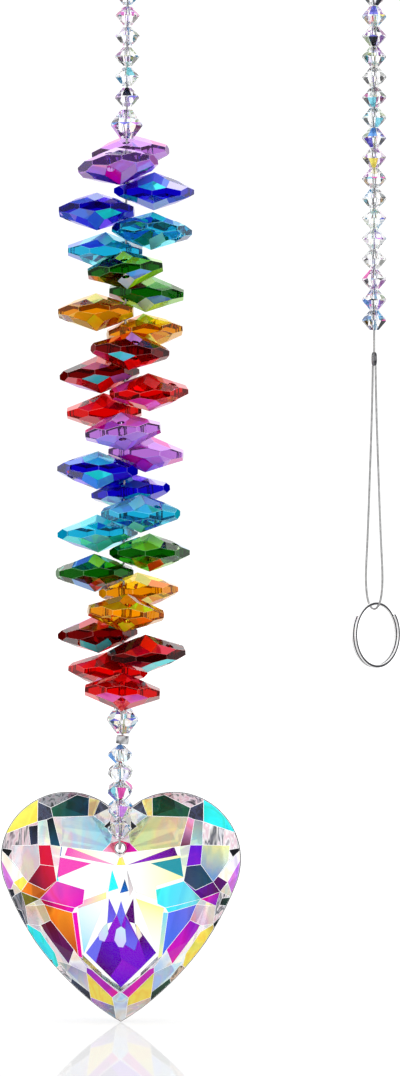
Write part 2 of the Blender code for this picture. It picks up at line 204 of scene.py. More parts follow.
# The looks of the heart's facets; one paints the front margins white as glints, one paints streaked reflections
CLEAR, STRONG, LIGHT, PAINTED_GLINT, PAINTED_REFLECTION, BACKING = range(6)
FRONT_TONES = ("white pearl", "blush white", "pale_blue white", "white mint", "lemon white")
BACK_TONES = (
    "white pearl", "cyan sky", "magenta violet", "yellow white", "periwinkle cyan", "pink white", "teal blue",
    "white lemon", "violet plum", "orange yellow", "aqua white",
)

# The pattern of the coat, for the right-hand half of the heart, in millimetres from its middle: corners, the
# tones of the left half and of the right half, and the look. A later one lies over an earlier one
# The dark tones here (ink, slate, forest, deep_teal) paint dark reflections inside the crystal, and the look with
# black and white streaks paints reflections
FRONT_PATTERN = (
    (((15.3, 16.2), (21.4, 13.8), (23.6, 11.4), (22.2, 10.4), (19.3, 7.6), (15.0, 9.6)), "blush", "white", PAINTED_REFLECTION),
    (((5.9, 20.3), (5.9, 23.5), (16.5, 22.5), (15.5, 19.0), (13.0, 18.4), (8.2, 20.9)), "smoke", "blush", PAINTED_REFLECTION),
    (((1.2, 19.0), (3.9, 19.9), (5.9, 20.3), (5.9, 23.0), (2.0, 22.0)), "white", "white", LIGHT),
    (((17.8, 0.2), (18.6, 2.9), (21.2, 1.4), (24.0, 1.6), (21.5, -5.0), (17.3, -3.2)), "smoke", "white", PAINTED_REFLECTION),
    (((11.6, -10.2), (14.5, -12.0), (10.5, -17.5), (8.4, -15.1), (9.2, -13.4)), "white", "sand", PAINTED_REFLECTION),
    (((15.2, -3.0), (17.3, -3.2), (14.9, -4.6), (12.2, -8.6), (11.6, -11.0), (9.4, -10.9)), "blush", "white", LIGHT),
    (((15.5, 16.0), (15.5, 20.8), (22.5, 20.5), (22.6, 13.3)), "yellow", "cyan", STRONG),
    (((22.8, 9.0), (20.0, 4.6), (21.2, 1.4), (24.2, 2.0)), "lilac", "lilac", STRONG),
    (((22.2, 10.4), (18.2, 5.8), (20.0, 4.6), (22.8, 9.0)), "white", "white", STRONG),
    (((20.2, 10.6), (23.0, 11.0), (21.0, 9.2)), "ink", "ink", STRONG),
    (((17.4, -3.3), (14.9, -4.6), (12.2, -8.6), (11.6, -11.0), (13.5, -13.0), (21.0, -5.0)), "cyan", "yellow",
     STRONG),
    (((17.7, -3.6), (20.8, -0.6), (21.4, -4.0), (18.2, -6.4)), "ink slate", "ink forest", STRONG),
    (((9.2, -13.4), (5.8, -15.9), (5.4, -19.0), (10.0, -17.0)), "slate ink", "forest ink", STRONG),
    (((6.3, -12.0), (1.5, -16.7), (1.2, -18.4), (5.6, -17.0)), "yellow", "yellow", STRONG),
    (((1.2, -18.4), (5.6, -17.0), (5.4, -19.0), (0.9, -22.5)), "smoke lilac", "white sand", LIGHT),
    (((13.8, 16.4), (15.4, 16.2), (15.3, 11.7), (13.0, 11.8)), "mint white", "mint smoke", LIGHT),
    (((12.6, 16.9), (13.8, 16.4), (13.0, 11.8), (11.1, 11.6)), "ink deep_teal", "wine rose", STRONG),
    (((13.0, 18.6), (15.5, 19.6), (15.5, 16.0), (13.8, 16.4), (12.6, 16.9)), "slate", "slate", PAINTED_REFLECTION),
    (((13.0, 11.8), (15.3, 11.7), (15.0, 8.1), (12.3, 7.9)), "crimson", "purple violet", STRONG),
    (((12.3, 7.9), (15.0, 8.1), (17.3, 4.8), (14.0, 3.4), (11.8, 5.2)), "crimson wine", "slate deep_teal", STRONG),
    (((17.3, 4.8), (14.0, 3.4), (11.8, 5.2), (15.0, 1.7), (18.6, 2.9)), "orange rust", "plum violet", STRONG),
    (((15.0, 1.7), (18.6, 2.9), (17.8, 0.2)), "olive", "purple magenta", STRONG),
    (((18.2, 5.8), (20.0, 4.6), (18.6, 2.9), (17.3, 4.8)), "yellow", "plum", STRONG),
    (((15.0, 8.1), (15.3, 11.7), (20.4, 11.4), (20.2, 8.6), (18.2, 5.8), (17.3, 4.8)), "blush", "sky lemon", LIGHT),
    (((6.0, 17.1), (5.9, 20.3), (8.2, 20.9), (13.0, 18.6), (12.6, 16.9)), "deep_teal forest", "forest", STRONG),
    (((3.9, 19.9), (5.9, 20.3), (6.0, 17.1), (5.0, 17.1)), "lemon", "lemon", STRONG),
    (((2.1, 18.4), (3.9, 19.9), (5.0, 17.1)), "slate", "slate", PAINTED_REFLECTION),
    (((1.6, 17.9), (2.1, 18.4), (5.0, 17.1), (2.4, 15.2)), "blush white", "white", LIGHT),
    (((0.0, 12.6), (1.8, 12.2), (1.4, 13.9), (2.4, 15.2), (1.6, 17.9), (0.0, 16.5)), "blush", "blush", LIGHT),
    (((1.4, 13.9), (2.4, 15.2), (5.0, 17.1), (6.0, 17.1), (12.6, 16.9), (11.1, 11.6), (3.3, 10.7),
      (1.8, 12.2)), "aqua blush", "sage sand", LIGHT),
    (((1.9, 16.2), (3.1, 15.2), (1.9, 14.3)), "ink", "ink", STRONG),
    (((0.0, 10.3), (3.3, 10.7), (1.8, 12.2), (0.0, 12.6)), "crimson rose", "crimson magenta", STRONG),
    (((8.9, -0.7), (14.2, 0.7), (13.0, -2.2), (8.6, -7.6), (7.8, -8.8)), "orange rust", "azure periwinkle", STRONG),
    (((13.0, -2.2), (14.9, -3.1), (14.3, -4.3), (9.4, -10.9), (8.6, -7.6)), "wine plum", "magenta purple", STRONG),
    (((8.6, -7.6), (9.7, -10.6), (6.3, -12.0), (6.3, -10.9), (7.8, -8.8)), "white", "white pale_blue", STRONG),
    (((14.2, 0.7), (17.8, 0.2), (17.3, -3.2), (15.2, -3.4), (13.0, -2.2)), "sand blush", "rose white", LIGHT),
    (((9.7, -10.6), (11.6, -10.2), (9.2, -13.4), (5.8, -15.9), (6.3, -12.0)), "smoke white", "pale_blue", LIGHT),
    (((11.8, 5.2), (15.0, 1.7), (8.4, 0.2), (6.9, 0.9), (6.6, 3.6)), "pink magenta", "cyan aqua", STRONG),
    (((15.0, 1.7), (8.4, 0.2), (8.9, -0.7), (14.2, 0.7)), "crimson magenta", "aqua cyan", STRONG),
    (((8.9, -0.7), (8.0, -0.6), (7.0, -9.2), (7.8, -8.8)), "magenta", "aqua lemon", STRONG),
    (((0.3, -15.6), (5.3, -11.3), (6.3, -10.9), (6.3, -12.0), (1.5, -16.7)), "magenta purple", "magenta", STRONG),
)
FRONT_EXTRA = (
    (((-0.3, -15.6), (0.3, -15.6), (1.5, -16.7), (1.2, -18.4), (0.9, -22.5), (-0.9, -22.5), (-1.2, -18.4),
      (-1.5, -16.7)), "pale_blue white", STRONG),
    (((-20.1, 3.3), (-22.8, 3.0), (-21.6, 0.3), (-19.8, 2.2)), "ink slate", STRONG),
    (((-15.4, 15.4), (-17.2, 15.1), (-16.8, 11.6), (-15.4, 11.9)), "ink slate", STRONG),
    (((-14.8, -9.9), (-12.9, -10.0), (-12.0, -12.6), (-13.8, -12.4)), "ink", STRONG),
    (((17.3, -3.2), (20.3, -0.6), (20.6, -3.4), (17.6, -4.8)), "ink forest", STRONG),
    (((18.5, 0.3), (18.9, 1.6), (21.0, 1.6), (21.0, -0.2)), "forest ink", STRONG),
    (((-20.6, -0.2), (-18.5, -0.8), (-17.3, -4.3), (-19.0, -3.9)), "slate ink", STRONG),
)
BACK_PATTERN = (
    (((0.0, 10.5), (12.4, 12.0), (10.0, 10.9), (1.2, 7.5), (0.8, 7.5), (0.0, 9.8)), "white lemon", "white lemon",
     BACKING),
    (((0.0, 9.8), (0.8, 7.5), (0.0, 7.5)), "yellow", "yellow sand", BACKING),
    (((10.0, 10.9), (10.6, 9.3), (1.2, 7.5)), "pink rose", "purple plum", BACKING),
    (((5.6, 7.8), (12.3, 9.1), (11.8, 5.2)), "pink", "teal", BACKING),
    (((10.6, 9.3), (12.3, 9.1), (5.6, 7.8), (11.8, 5.2), (6.6, 3.6), (6.9, 0.9), (2.8, 2.4), (1.2, 7.5)),
     "white", "white lemon", BACKING),
    (((8.0, -0.6), (2.8, 1.2), (7.0, -9.2)), "aqua white", "lemon white", BACKING),
    (((6.9, 0.9), (8.4, 0.2), (8.0, -0.6), (2.8, 1.2), (2.8, 2.4)), "rose lemon", "white", BACKING),
    (((2.6, -3.5), (6.6, -9.0), (4.8, -10.8), (3.5, -6.9)), "periwinkle", "plum violet", BACKING),
    (((2.3, 1.3), (0.9, -1.8), (1.6, -3.2), (2.6, -3.5)), "periwinkle violet", "plum", BACKING),
    (((0.0, 0.8), (0.8, -1.8), (0.0, -4.2)), "periwinkle", "periwinkle", BACKING),
)
BACK_EXTRA = (
    (((0.0, -4.2), (0.8, -1.8), (1.6, -3.2), (3.5, -6.9), (4.8, -10.8), (0.0, -15.5), (-4.8, -10.8),
      (-3.5, -6.9), (-1.6, -3.2), (-0.8, -1.8)), "purple violet", BACKING),
    (((-3.6, -7.0), (-0.6, -6.9), (0.4, -12.9), (-1.8, -13.7), (-4.6, -10.9)), "plum violet", BACKING),
    (((-2.0, -13.4), (0.2, -10.2), (3.4, -12.2), (0.0, -15.5)), "violet purple", BACKING),
    (((0.9, -2.4), (3.2, -6.6), (2.6, -8.6), (0.6, -7.4)), "periwinkle violet", BACKING),
    (((-0.9, -4.6), (0.0, -4.0), (0.8, -4.6), (1.0, -6.8), (0.4, -8.0), (-0.5, -7.9), (-1.3, -6.6)),
     "lavender pale_blue", BACKING),
    (((-3.4, -4.2), (-2.6, -3.4), (-2.4, -5.4), (-3.1, -6.9), (-4.1, -6.6), (-4.3, -5.6)), "lavender mint",
     BACKING),
    (((2.8, -3.6), (3.4, -4.4), (4.0, -5.8), (3.4, -6.5), (2.9, -5.6)), "blush lemon", BACKING),
    (((-1.7, 6.6), (-0.5, 3.1), (-2.4, 2.5)), "cyan", BACKING),
    (((0.7, 4.9), (1.4, 2.6), (-0.2, 2.2)), "blue deep_teal", BACKING),
    (((1.1, 6.7), (2.3, 3.0), (1.6, 1.6)), "blush smoke", BACKING),
)

# The streaks in the coats, from one tone to the next
PASTEL_STREAKS = (
    (0.30, (0.80, 0.98, 0.92)), (0.42, (1.0, 0.97, 0.70)), (0.50, (1.0, 0.78, 0.84)), (0.58, (0.72, 0.90, 1.0)),
    (0.68, (1.0, 1.0, 0.86)),
)
DEEP_STREAKS = (
    (0.34, (0.50, 0.38, 0.72)), (0.43, (1.0, 1.0, 1.0)), (0.50, (1.0, 0.72, 0.50)), (0.56, (1.0, 1.0, 1.0)),
    (0.66, (0.62, 0.80, 1.0)),
)
# Black and white streaks that paint reflections on the heart's facets
REFLECTION_STREAKS = (
    (0.32, (0.02, 0.02, 0.03)), (0.39, (0.45, 0.42, 0.45)), (0.44, (0.96, 0.96, 0.98)), (0.49, (0.78, 0.52, 0.60)),
    (0.53, (0.95, 0.93, 0.92)), (0.58, (0.08, 0.09, 0.11)), (0.63, (0.60, 0.60, 0.66)), (0.70, (0.98, 0.98, 0.98)),
)

# The pendant wire and its beads
FORK = Vector((-24.5 * MM, 0.0, -165.7 * MM))
FORK_SPLIT = 0.3 * MM
LEG_TILT = radians(28)
LEG_END = 19.6 * MM
FRONT_START = 2.1 * MM
FRONT_BEADS = 5
BACK_START = 5.7 * MM
BACK_BEADS = 4
CRIMP_TOP = -163.6 * MM
CRIMP_HALF = 0.85 * MM

# The ring end
RIGHT_X = 23.1 * MM
DARK_CRIMP_Z = -93.38 * MM
DARK_CRIMP_HALF = 1.27 * MM
RING_CENTRE = Vector((23.4 * MM, 0.0, -145.1 * MM))
RING_RADIUS = 5.9 * MM
RING_WIRE = 0.3 * MM
RING_PITCH = 0.72 * MM
RING_TURNS = 1.71
RING_START = radians(143)
RING_ANGLE = radians(47)
RING_STEPS = 120
RING_SIDES = 12
LOOP_ROUTE = (
    (-0.35, -94.6), (-0.42, -98.0), (-0.6, -104.0), (-0.85, -110.0), (-1.12, -116.0), (-1.4, -122.0),
    (-1.72, -128.0), (-1.98, -132.0), (-2.05, -135.0), (-1.8, -137.6), (-1.25, -139.3), (-0.45, -140.15),
    (0.45, -140.15), (1.25, -139.3), (1.8, -137.6), (2.05, -135.0), (1.98, -132.0), (1.72, -128.0),
    (1.4, -122.0), (1.12, -116.0), (0.85, -110.0), (0.6, -104.0), (0.42, -98.0), (0.35, -94.6),
)


def scatter(*seeds):
    """A fixed number from 0 to 1 for a set of whole numbers."""
    value = sum(seed * step for seed, step in zip(seeds, (12.9898, 78.233, 37.719)))
    value = sin(value + 1.7) * 43758.5453
    return value - floor(value)


def shown(name, data, *nodes, slot=None):
    """A piece that rides on the one body and stands for the named nodes."""
    piece = bpy.data.objects.new(name, data)
    bpy.context.scene.collection.objects.link(piece)
    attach(piece, "root")
    if nodes:
        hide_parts(*nodes)
    return piece


def left_x(z):
    return -ARCH_RADIUS - LEFT_LEAN * (-ARCH_RADIUS - z)


def new_material(name):
    made = bpy.data.materials.new(name)
    made.use_nodes = True
    tree = made.node_tree
    shader = tree.nodes["Principled BSDF"]
    return made, tree, shader


def linear(levels):
    return Vector([(level / 255) ** 2.2 for level in levels])


def tone(name):
    """One named tone of the coat, as linear colour."""
    return linear(TONES[name])


def attribute(tree, name):
    node = tree.nodes.new("ShaderNodeAttribute")
    node.attribute_name = name
    return node


def ramp(tree, factor, stops, interpolation="LINEAR"):
    node = tree.nodes.new("ShaderNodeValToRGB")
    node.color_ramp.interpolation = interpolation
    elements = node.color_ramp.elements
    while len(elements) < len(stops):
        elements.new(0.5)
    for element, (position, colour) in zip(elements, stops):
        element.position = position
        element.color = (*colour, 1.0)
    tree.links.new(factor, node.inputs["Fac"])
    return node.outputs["Color"]


def fine_wear(tree, shader, low, high, scale=900.0):
    """Very faint polishing marks in the roughness."""
    where = tree.nodes.new("ShaderNodeTexCoord")
    noise = tree.nodes.new("ShaderNodeTexNoise")
    noise.inputs["Scale"].default_value = scale
    noise.inputs["Detail"].default_value = 3.0
    tree.links.new(where.outputs["Object"], noise.inputs["Vector"])
    level = tree.nodes.new("ShaderNodeMapRange")
    level.inputs["To Min"].default_value = low
    level.inputs["To Max"].default_value = high
    tree.links.new(noise.outputs["Fac"], level.inputs["Value"])
    tree.links.new(level.outputs["Result"], shader.inputs["Roughness"])


def coated(tree, shader):
    """A thin coat on chosen facets: its thickness in nanometres gives each facet its own rainbow colour."""
    tree.links.new(attribute(tree, "film").outputs["Fac"], shader.inputs["Thin Film Thickness"])
    shader.inputs["Thin Film IOR"].default_value = 2.4


def clear_glass(name, gloss=1.0):
    """Clear glass with a thin rainbow coat on some facets."""
    made, tree, shader = new_material(name)
    coated(tree, shader)
    shader.inputs["Base Color"].default_value = (0.96, 0.97, 0.98, 1.0)
    shader.inputs["Specular Tint"].default_value = (gloss, gloss, gloss, 1.0)
    fine_wear(tree, shader, 0.0, 0.02)
    shader.inputs["Transmission Weight"].default_value = 1.0
    shader.inputs["IOR"].default_value = 1.56
    return made


def coloured_glass(name, deep):
    """Glass coloured through its body, with a thin rainbow coat that differs from facet to facet."""
    colour = [1 + 2.2 * log(level / 255) / (GLASS_DEPTH * GLASS_DENSITY) for level in deep]
    made, tree, shader = new_material(name)
    coated(tree, shader)
    tree.links.new(attribute(tree, "glow").outputs["Color"], shader.inputs["Base Color"])
    shader.inputs["Specular Tint"].default_value = (*linear(deep), 1.0)
    fine_wear(tree, shader, 0.0, 0.03)
    shader.inputs["Transmission Weight"].default_value = 1.0
    shader.inputs["IOR"].default_value = 1.56
    body = tree.nodes.new("ShaderNodeVolumeAbsorption")
    body.inputs["Color"].default_value = (*colour, 1.0)
    body.inputs["Density"].default_value = GLASS_DENSITY
    tree.links.new(body.outputs["Volume"], tree.nodes["Material Output"].inputs["Volume"])
    return made


def rainbow_coat(name, metallic, transmission, streaks, stops=PASTEL_STREAKS, stretch=(260.0, 260.0, 90.0),
                 gloss=1.0):
    """A coat on single facets: the facet's own tone, with streaks that run through it."""
    made, tree, shader = new_material(name)
    where = tree.nodes.new("ShaderNodeTexCoord")
    mapping = tree.nodes.new("ShaderNodeMapping")
    mapping.inputs["Scale"].default_value = stretch
    mapping.inputs["Rotation"].default_value = (0.0, COAT_SLANT, 0.0)
    tree.links.new(where.outputs["Object"], mapping.inputs["Vector"])
    noise = tree.nodes.new("ShaderNodeTexNoise")
    noise.inputs["Scale"].default_value = 1.0
    noise.inputs["Detail"].default_value = 2.0
    noise.inputs["Distortion"].default_value = 0.6
    tree.links.new(mapping.outputs["Vector"], noise.inputs["Vector"])
    mix = tree.nodes.new("ShaderNodeMix")
    mix.data_type = "RGBA"
    mix.blend_type = "MULTIPLY"
    mix.inputs["Factor"].default_value = streaks
    tree.links.new(attribute(tree, "glow").outputs["Color"], mix.inputs["A"])
    tree.links.new(ramp(tree, noise.outputs["Fac"], stops), mix.inputs["B"])
    tree.links.new(mix.outputs["Result"], shader.inputs["Base Color"])
    fine_wear(tree, shader, 0.02, 0.08)
    shader.inputs["Metallic"].default_value = metallic
    shader.inputs["Transmission Weight"].default_value = transmission
    shader.inputs["Specular Tint"].default_value = (gloss, gloss, gloss, 1.0)
    shader.inputs["IOR"].default_value = 1.52
    return made


def edge_on_shade_coat(name, deep):
    """The end facets of an octagon, painted dark as shade where they are seen almost edge on from the front."""
    made = rainbow_coat(name, 1.0, 0.0, 0.5, DEEP_STREAKS, (170.0, 170.0, 60.0))
    edge_on = 0.5 * linear(deep) + Vector((0.1, 0.1, 0.1))
    made.node_tree.nodes["Principled BSDF"].inputs["Specular Tint"].default_value = (*edge_on, 1.0)
    return made


def painted_glint_edge(name, metallic, roughness):
    """The narrow arrises, painted matt white as a glint."""
    made, tree, shader = new_material(name)
    fine_wear(tree, shader, roughness, 2 * roughness)
    shader.inputs["Metallic"].default_value = metallic
    shader.inputs["Base Color"].default_value = (0.97, 0.98, 1.0, 1.0)
    return made


def drawn_metal(name, dark, light, roughness, scale=1600.0):
    """Drawn wire or worn plating: slight patches of tone and roughness. On the dark crimp the patches are partly
    wear and partly painted reflection.
    """
    made, tree, shader = new_material(name)
    where = tree.nodes.new("ShaderNodeTexCoord")
    noise = tree.nodes.new("ShaderNodeTexNoise")
    noise.inputs["Scale"].default_value = scale
    noise.inputs["Detail"].default_value = 4.0
    tree.links.new(where.outputs["Object"], noise.inputs["Vector"])
    colour = ramp(tree, noise.outputs["Fac"], ((0.35, dark), (0.65, light)))
    tree.links.new(colour, shader.inputs["Base Color"])
    level = tree.nodes.new("ShaderNodeMapRange")
    level.inputs["To Min"].default_value = roughness * 0.7
    level.inputs["To Max"].default_value = roughness * 1.5
    tree.links.new(noise.outputs["Fac"], level.inputs["Value"])
    tree.links.new(level.outputs["Result"], shader.inputs["Roughness"])
    shader.inputs["Metallic"].default_value = 1.0
    return made


def painted_shade_metal(name):
    """Bright wire, painted dark in the slit between its turns as shade where the turns shade each other."""
    made, tree, shader = new_material(name)
    stops = ((0.38, (0.03, 0.03, 0.035)), (0.62, (0.25, 0.25, 0.26)), (0.76, (0.9, 0.9, 0.9)))
    tree.links.new(ramp(tree, attribute(tree, "shade_band").outputs["Fac"], stops), shader.inputs["Base Color"])
    fine_wear(tree, shader, 0.15, 0.3)
    shader.inputs["Metallic"].default_value = 0.6
    return made


def polyline(name, points, radii, depth, resolution=4):
    curve = bpy.data.curves.new(name, "CURVE")
    curve.dimensions = "3D"
    curve.bevel_depth = depth
    curve.bevel_resolution = resolution
    curve.use_fill_caps = True
    spline = curve.splines.new("POLY")
    spline.points.add(len(points) - 1)
    for knot, point, radius in zip(spline.points, points, radii):
        knot.co = (*point, 1.0)
        knot.radius = radius
    spline.use_smooth = True
    return curve


def wire(name, points, radius, resolution=4):
    return polyline(name, points, [1.0] * len(points), radius, resolution)


def smooth_route(points, steps):
    """Points on one smooth curve through the given ones."""
    route = []
    last = len(points) - 1
    for i in range(last):
        a, b, c, d = (Vector(points[min(max(k, 0), last)]) for k in (i - 1, i, i + 1, i + 2))
        for step in range(steps):
            t = step / steps
            route.append(0.5 * ((2 * b) + (c - a) * t + (2 * a - 5 * b + 4 * c - d) * t ** 2
                                + (3 * b - a - 3 * c + d) * t ** 3))
    route.append(Vector(points[-1]))
    return route


def grind(bm, azimuth, tilt, distance, level):
    """Grind one flat facet that crosses the given level at the given distance from the middle."""
    normal = Vector((cos(azimuth) * sin(tilt), sin(azimuth) * sin(tilt), cos(tilt)))
    point = Vector((cos(azimuth) * distance, sin(azimuth) * distance, level))
    everything = bm.verts[:] + bm.edges[:] + bm.faces[:]
    cut = bmesh.ops.bisect_plane(bm, geom=everything, dist=1e-7, plane_co=point, plane_no=normal, clear_outer=True)
    rim = [part for part in cut["geom_cut"] if isinstance(part, bmesh.types.BMEdge)]
    if len(rim) > 2:
        bmesh.ops.contextual_create(bm, geom=rim)


def grind_both(bm, azimuth, tilt, distance, level):
    grind(bm, azimuth, tilt, distance, level)
    grind(bm, azimuth, pi - tilt, distance, -level)


def to_mesh(bm, name):
    bmesh.ops.recalc_face_normals(bm, faces=bm.faces[:])
    mesh = bpy.data.meshes.new(name)
    bm.to_mesh(mesh)
    bm.free()
    return mesh


def drilled(mesh, holes, radius, length, sides, rotation=(0, 0, 0)):
    """The mesh with round holes cut through it."""
    item = bpy.data.objects.new("blank", mesh)
    bpy.context.scene.collection.objects.link(item)
    helpers = [item]
    for index, place in enumerate(holes):
        bm = bmesh.new()
        bmesh.ops.create_cone(bm, cap_ends=True, segments=sides, radius1=radius, radius2=radius, depth=length)
        cutter = bpy.data.objects.new(f"bore_{index}", to_mesh(bm, "bore"))
        bpy.context.scene.collection.objects.link(cutter)
        cutter.location = place
        cutter.rotation_euler = rotation
        helpers.append(cutter)
        cut = item.modifiers.new(f"bore_{index}", "BOOLEAN")
        cut.operation = "DIFFERENCE"
        cut.object = cutter
    bpy.context.view_layer.update()
    result = bpy.data.meshes.new_from_object(item.evaluated_get(bpy.context.evaluated_depsgraph_get()))
    for helper in helpers:
        bpy.data.objects.remove(helper, do_unlink=True)
    return result


def coat_octagon(bm, colour, seed, azimuth):
    """The girdle is painted deeper in colour as shade, most so at the end facets seen almost edge on from the front.
    Some slopes are mirrored, others have a film.
    """
    film = bm.faces.layers.float.new("film")
    glow = bm.loops.layers.float_color.new("glow")
    choices = OCTAGON_TONES[colour].split()
    front = Vector((-sin(azimuth), -cos(azimuth)))
    for index, face in enumerate(bm.faces):
        shade = tone("white")
        if abs(face.normal.z) < 0.5:
            # Painted shade: the girdle's glass tone is darkened, and the end facets more
            shade = PAINTED_GIRDLE_SHADE * linear(GLASS[colour])
            if abs(face.normal.xy.dot(front)) < END_FACING:
                face.material_index = EDGE_ON_SHADE
                shade = PAINTED_END_SHADE * linear(GLASS[colour])
        elif abs(face.normal.z) > KITE_LEVEL and face.normal.xy.normalized().dot(front) > FRONT_FACING:
            face.material_index = BRIGHT
            above, below = OCTAGON_ACCENTS[colour]
            accents = (above if face.normal.z > 0 else below).split()
            shade = tone(accents[int(scatter(index, seed, 5) * len(accents))])
        elif scatter(index, seed, 7) < OCTAGON_MIRRORED[colour]:
            face.material_index = MIRROR if face.normal.z > 0 else BRIGHT
            shade = tone(choices[int(scatter(seed, index, 11) * len(choices))])
        else:
            face[film] = OCTAGON_FILMS[colour][int(scatter(index, seed) * len(OCTAGON_FILMS[colour]))]
        for loop in face.loops:
            loop[glow] = (*shade, 1.0)
    arrises = bmesh.ops.bevel(bm, geom=bm.edges[:], offset=ARRIS, segments=1, affect="EDGES")
    for face in arrises["faces"]:
        face.material_index = GLINT
        for loop in face.loops:
            loop[glow] = (*linear(GLASS[colour]).lerp(tone("white"), 0.15), 1.0)


def octagon_mesh(colour, seed, azimuth, looks):
    """The octagon with its polished arrises and two round holes. Its origin is the hole that it hangs from."""
    corner = OCTAGON_APOTHEM / cos(pi / 8)
    inner_slope = (OCTAGON_PEAK - OCTAGON_SIDE) / OCTAGON_APOTHEM
    star_height = OCTAGON_PEAK - inner_slope * OCTAGON_STAR * cos(pi / 8)
    outer_slope = (star_height - OCTAGON_SIDE) / (OCTAGON_APOTHEM * cos(pi / 8) - OCTAGON_STAR)
    bm = bmesh.new()
    bmesh.ops.create_cone(bm, cap_ends=True, segments=8, radius1=corner, radius2=corner, depth=2.2 * OCTAGON_PEAK)
    if min(abs(vert.co.y) for vert in bm.verts) < 0.1 * MM:
        bmesh.ops.rotate(bm, verts=bm.verts[:], cent=(0, 0, 0), matrix=Matrix.Rotation(pi / 8, 3, "Z"))
    for turn in range(8):
        side = turn * pi / 4
        grind_both(bm, side, atan(inner_slope), OCTAGON_APOTHEM, OCTAGON_SIDE)
        grind_both(bm, side + pi / 8, atan(outer_slope), OCTAGON_STAR, star_height)
    bmesh.ops.remove_doubles(bm, verts=bm.verts[:], dist=0.02 * MM)
    bm.normal_update()
    coat_octagon(bm, colour, seed, azimuth)
    mesh = to_mesh(bm, "octagon")
    for look in looks:
        mesh.materials.append(look)
    mesh = drilled(mesh, ((-OCTAGON_HANG, 0, 0), (OCTAGON_HANG, 0, 0)), OCTAGON_BORE, 12 * MM, 20)
    mesh.transform(Matrix.Translation((OCTAGON_HANG, 0, 0)))
    return mesh


def octagons(mirror, glint, bright):
    looks = {name: coloured_glass(f"{name}_crystal", GLASS[name]) for name in GLASS}
    # Dark coats for the end facets, painted shade
    ends = {name: edge_on_shade_coat(f"{name}_end", GLASS[name]) for name in GLASS}
    counts = {}
    for index, (colour, azimuth, roll, pitch) in enumerate(OCTAGONS):
        counts[colour] = counts.get(colour, 0) + 1
        node = f"octagon_{colour}_{counts[colour]}"
        coats = (looks[colour], mirror, glint, ends[colour], bright)
        mesh = octagon_mesh(colour, index + 3, radians(azimuth), coats)
        z = CLUSTER_TOP - CLUSTER_PITCH * index
        tilt = Matrix.Rotation(radians(-roll), 4, "Y") @ Matrix.Rotation(radians(pitch), 4, "X")
        turn = Matrix.Rotation(radians(azimuth), 4, "Z")
        mesh.transform(Matrix.Translation((left_x(z), 0, z)) @ tilt @ turn)
        shown(f"{colour}_octagon_{counts[colour]}", mesh, node, slot=f"{colour}_crystal")


def bicone(bm, half, radius, neck, place, seed):
    """A double cone of eight facets above and eight below, set half a facet apart, with a round bore."""
    sides = 8
    belly = 0.09 * half
    rings = []
    for reach, height, turn in (
        (BEAD_BORE, half, 0), (neck, half, 0), (radius, belly, 0), (radius, -belly, 0.5), (neck, -half, 0.5),
        (BEAD_BORE, -half, 0.5),
    ):
        angles = [2 * pi * (step + turn) / sides for step in range(sides)]
        rings.append([bm.verts.new(place @ Vector((reach * cos(a), reach * sin(a), height))) for a in angles])
    film = bm.faces.layers.float.get("film") or bm.faces.layers.float.new("film")
    glow = bm.loops.layers.float_color.get("glow") or bm.loops.layers.float_color.new("glow")

    def facet(corners, number):
        face = bm.faces.new(corners)
        chance = scatter(number, seed)
        face[film] = BEAD_FILMS[int(scatter(seed, number, 3) * len(BEAD_FILMS))]
        if number and chance < BEAD_COATED:
            face.material_index = 1
            shade = tone(BEAD_TONES[int(scatter(number, seed, 5) * len(BEAD_TONES))])
            for loop in face.loops:
                loop[glow] = (*shade, 1.0)

    for step in range(sides):
        following = (step + 1) % sides
        for number, (ring, after) in enumerate(zip(rings, rings[1:])):
            if number == 2:
                facet((ring[step], after[step], ring[following]), 1 + 10 * number + step)
                facet((ring[following], after[step], after[following]), 41 + 10 * number + step)
            else:
                kind = 0 if number in (0, 4) else 1 + 10 * number + step
                facet((ring[step], after[step], after[following], ring[following]), kind)
        facet((rings[5][step], rings[0][step], rings[0][following], rings[5][following]), 0)


def bead_run(name, places, looks, node, half=SMALL_PITCH / 2 - 0.05 * MM, first=0):
    """A run of small bicones, each a closed crystal of its own."""
    bm = bmesh.new()
    for index, place in enumerate(places):
        turned = place @ Matrix.Rotation(2 * pi * scatter(index, first), 4, "Z")
        bicone(bm, half, SMALL_RADIUS, SMALL_NECK, turned, index + first)
    mesh = to_mesh(bm, name)
    for look in looks:
        mesh.materials.append(look)
    return shown(name, mesh, node, slot="clear_crystal")


def small_beads(looks):
    arch = []
    for bead in range(ARCH_BEADS):
        angle = pi - (bead + 0.5) * pi / ARCH_BEADS
        at = Vector((ARCH_RADIUS * cos(angle), 0, ARCH_RADIUS * sin(angle) - ARCH_RADIUS))
        arch.append(Matrix.Translation(at) @ Matrix.Rotation(-angle, 4, "Y"))
    bead_run("beads_over_bar", arch, looks, "clear_beads_over_bar", first=11)
    right = []
    for bead in range(RIGHT_BEADS):
        right.append(Matrix.Translation((ARCH_RADIUS, 0, -ARCH_RADIUS - GAP - (bead + 0.5) * SMALL_PITCH)))
    bead_run("beads_right", right, looks, "clear_beads_right", first=47)
    for bead in range(LEFT_BEADS):
        z = -ARCH_RADIUS - GAP - (bead + 0.5) * SMALL_PITCH
        bead_run(f"bead_left_{bead + 1}", [Matrix.Translation((left_x(z), 0, z))], looks,
                 f"clear_bead_left_{bead + 1}", half=(SMALL_PITCH - GAP) / 2, first=80 + bead)


